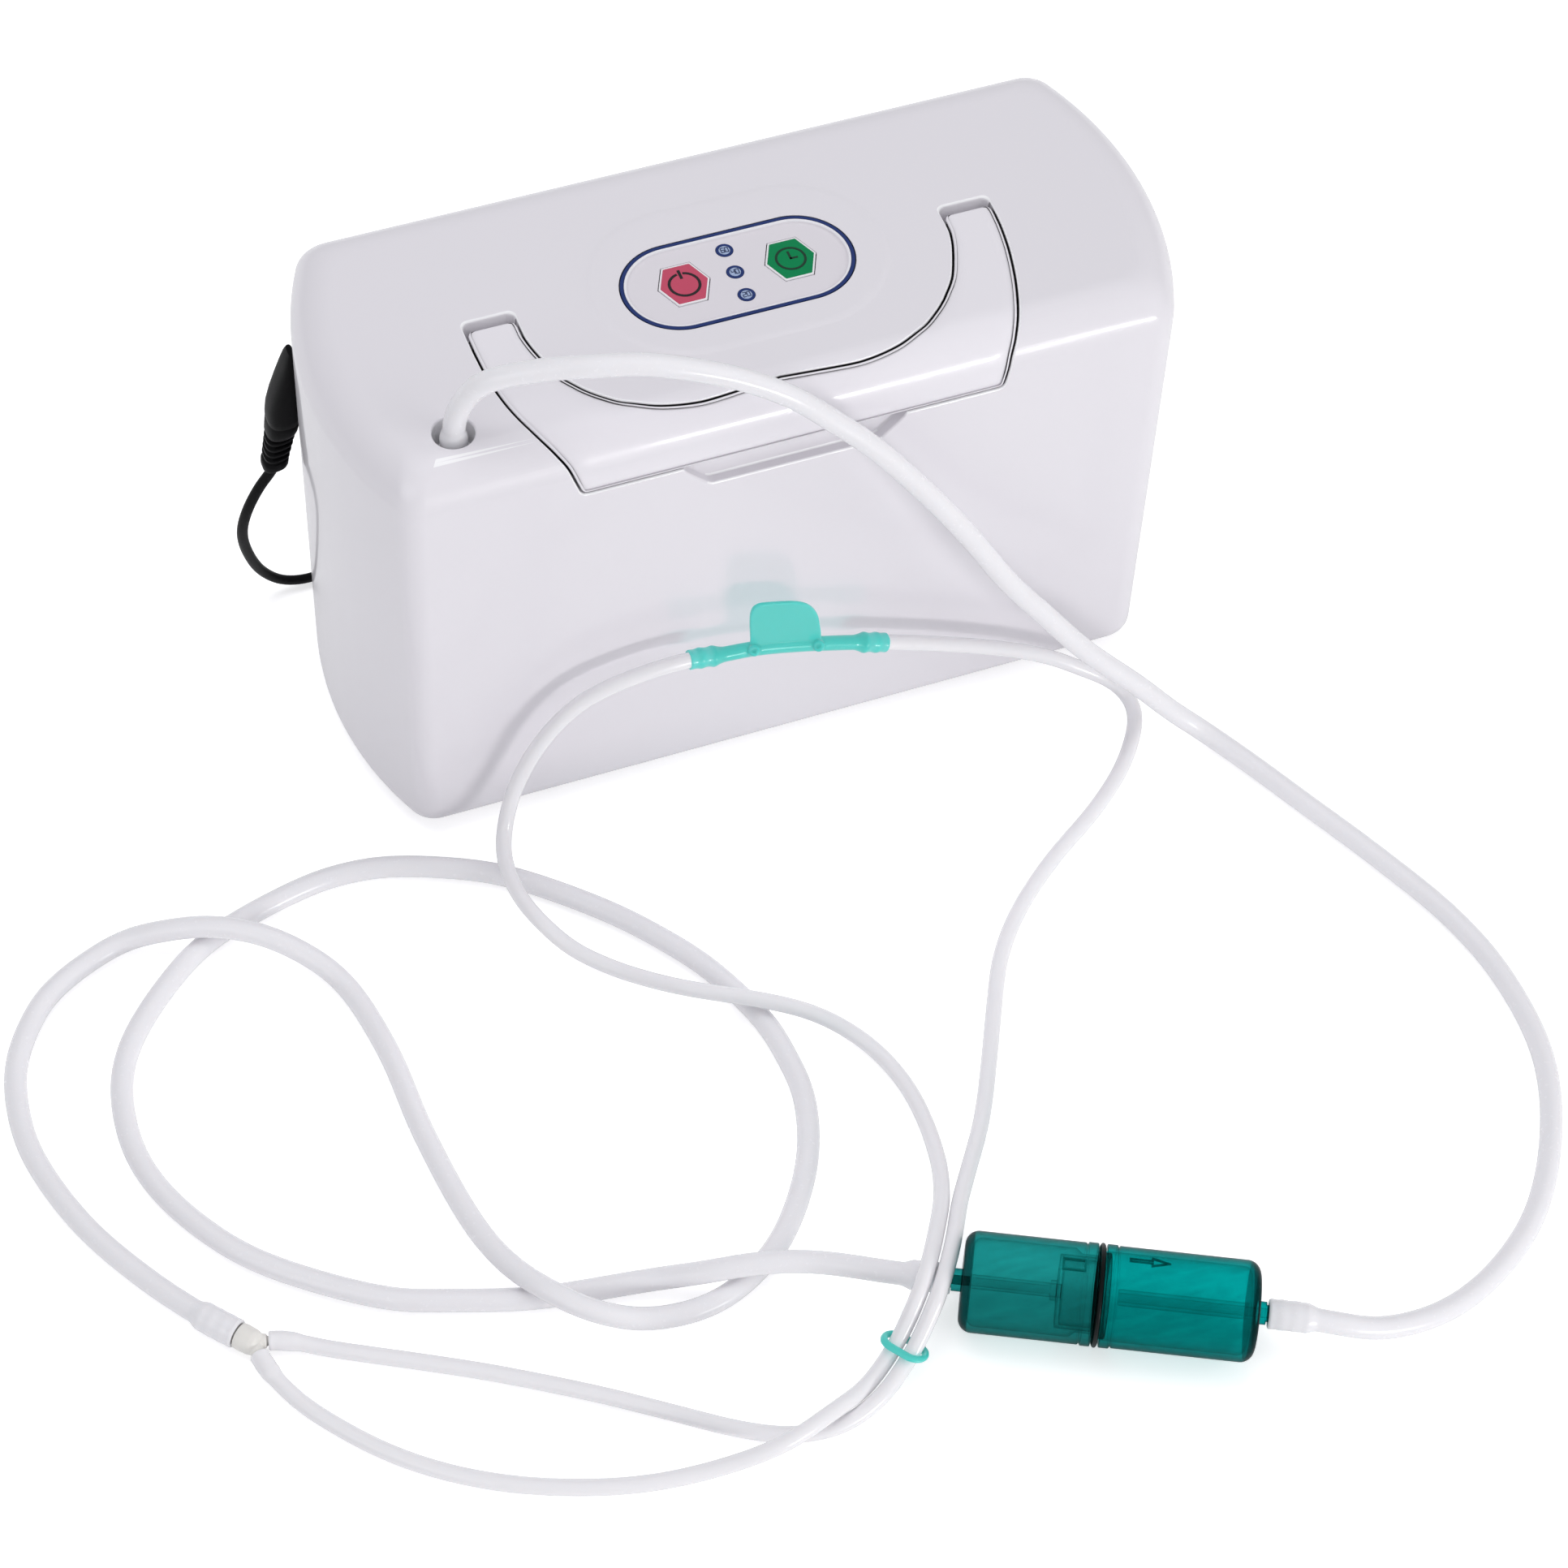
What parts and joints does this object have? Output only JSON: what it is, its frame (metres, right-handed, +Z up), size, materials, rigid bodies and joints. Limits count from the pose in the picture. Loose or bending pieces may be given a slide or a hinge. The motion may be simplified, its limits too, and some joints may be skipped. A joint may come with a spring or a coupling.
{
  "type": "portable oxygen concentrator",
  "caption": "Compact portable oxygen concentrator with flip-up carry handle, key panel and DC lead, with its outlet hose, in-line bottle, nasal cannula and slider.",
  "frame": {"origin": "centre of the machine's footprint, on the table plane under the anti-slip pad", "axes": "+Z up, front (outlet side) towards -Y, +X to the right seen from the front"},
  "size_m": [0.3567, 0.3206, 0.1553],
  "materials": {
    "casing_white": "gloss white moulded ABS",
    "handle_white": "gloss white moulded ABS",
    "cover_white": "satin white",
    "foam_grey": "open-cell foam",
    "pad_black": "matt rubber",
    "screw_steel": "machined",
    "panel_navy": "gloss navy print",
    "panel_label": "satin film",
    "key_red": "satin silicone",
    "key_green": "satin silicone",
    "led_blue": "unlit lens",
    "board_green": "solder mask",
    "switch_black": "moulded",
    "steel": "satin",
    "cast_alu": "cast",
    "mount_rubber": "matt rubber",
    "column_white": "satin",
    "manifold_white": "satin",
    "fan_black": "moulded",
    "piston_grey": "filled plastic",
    "barb_white": "satin",
    "cord_black": "satin",
    "jack_black": "moulded",
    "hose_white": "soft glossy PVC",
    "teal_light": "clear teal",
    "teal_dark": "clear teal",
    "o_ring_black": "satin",
    "insert_teal": "clear teal",
    "y_cream": "satin",
    "aqua": "soft aqua PVC"
  },
  "bodies": {
    "casing": {"main_casing": "casing_white", "handle_pin_left": "steel", "handle_pin_right": "steel", "rear_cover": "cover_white", "inlet_filter_foam": "foam_grey", "base_plate": "cover_white", "anti_slip_pad": "pad_black", "base_screw_1": "screw_steel", "base_screw_2": "screw_steel", "base_screw_3": "screw_steel", "base_screw_4": "screw_steel", "panel_ring": "panel_navy", "panel_label": "panel_label", "led_lens_1": "led_blue", "led_lens_2": "led_blue", "led_lens_3": "led_blue", "button_pcb": "board_green", "switch_power": "switch_black", "switch_set": "switch_black", "compressor_tray": "steel", "rubber_mount_1": "mount_rubber", "rubber_mount_2": "mount_rubber", "rubber_mount_3": "mount_rubber", "rubber_mount_4": "mount_rubber", "crankcase": "cast_alu", "motor_housing": "steel", "cylinder_barrel": "cast_alu", "cylinder_head": "cast_alu", "sieve_column_front": "column_white", "sieve_column_rear": "column_white", "valve_manifold": "manifold_white", "valve_feed": "steel", "valve_vent": "steel", "product_tank": "column_white", "fan_frame": "fan_black", "main_pcb": "board_green", "outlet_nozzle": "barb_white", "product_tube": "hose_white", "dc_jack": "jack_black"},
    "handle": {"handle": "handle_white"},
    "power_key": {"power_button": "key_red"},
    "set_key": {"set_button": "key_green"},
    "fan": {"fan_impeller": "fan_black"},
    "shaft": {"motor_shaft": "steel"},
    "piston": {"piston": "piston_grey"},
    "filter_cover": {"inlet_filter_cover": "cover_white"},
    "dc_lead_set": {"dc_plug": "cord_black", "dc_lead": "cord_black", "lead_socket": "jack_black"},
    "hose_set": {"outlet_hose": "hose_white", "supply_hose": "hose_white", "cannula_tube_a": "hose_white", "cannula_tube_b": "hose_white", "bottle_right_half": "teal_dark", "bottle_o_ring": "o_ring_black", "y_connector": "y_cream", "nasal_piece": "aqua"},
    "bottle_cap": {"bottle_left_half": "teal_light", "bottle_insert": "insert_teal"},
    "slider": {"cannula_slider": "aqua"}
  },
  "joints": [
    {"name": "handle_hinge", "type": "hinge", "parent": "casing", "child": "handle", "pos_m": [0, -0.0034, 0.126], "axis": [-1, 0, 0], "range_deg": [0, 92]},
    {"name": "power_button_press", "type": "slide", "parent": "casing", "child": "power_key", "axis": [0, 0, -1], "range_m": [0, 0.0006]},
    {"name": "set_button_press", "type": "slide", "parent": "casing", "child": "set_key", "axis": [0, 0, -1], "range_m": [0, 0.0006]},
    {"name": "fan_spin", "type": "hinge", "parent": "casing", "child": "fan", "pos_m": [0.076, 0, 0.055], "axis": [1, 0, 0], "continuous": true},
    {"name": "motor_spin", "type": "hinge", "parent": "casing", "child": "shaft", "pos_m": [-0.025, 0, 0.038], "axis": [1, 0, 0], "continuous": true},
    {"name": "piston_slide", "type": "slide", "parent": "casing", "child": "piston", "axis": [0, 0, 1], "range_m": [-0.004, 0.004]},
    {"name": "filter_cover_pull", "type": "slide", "parent": "casing", "child": "filter_cover", "axis": [0, 1, 0], "range_m": [0, 0.012]},
    {"name": "dc_plug_pull", "type": "slide", "parent": "casing", "child": "dc_lead_set", "axis": [-1, 0, 0], "range_m": [0, 0.012]},
    {"name": "hose_pull_off", "type": "slide", "parent": "casing", "child": "hose_set", "axis": [0, 0, 1], "range_m": [0, 0.015]},
    {"name": "bottle_unscrew", "type": "hinge", "parent": "hose_set", "child": "bottle_cap", "pos_m": [-0.02, -0.2134, 0.0119], "axis": [0.8947, -0.4466, 0], "continuous": true},
    {"name": "cannula_slider_slide", "type": "slide", "parent": "hose_set", "child": "slider", "axis": [0.6761, 0.5003, 0.5409], "range_m": [-0.001, 0.001]}
  ]
}
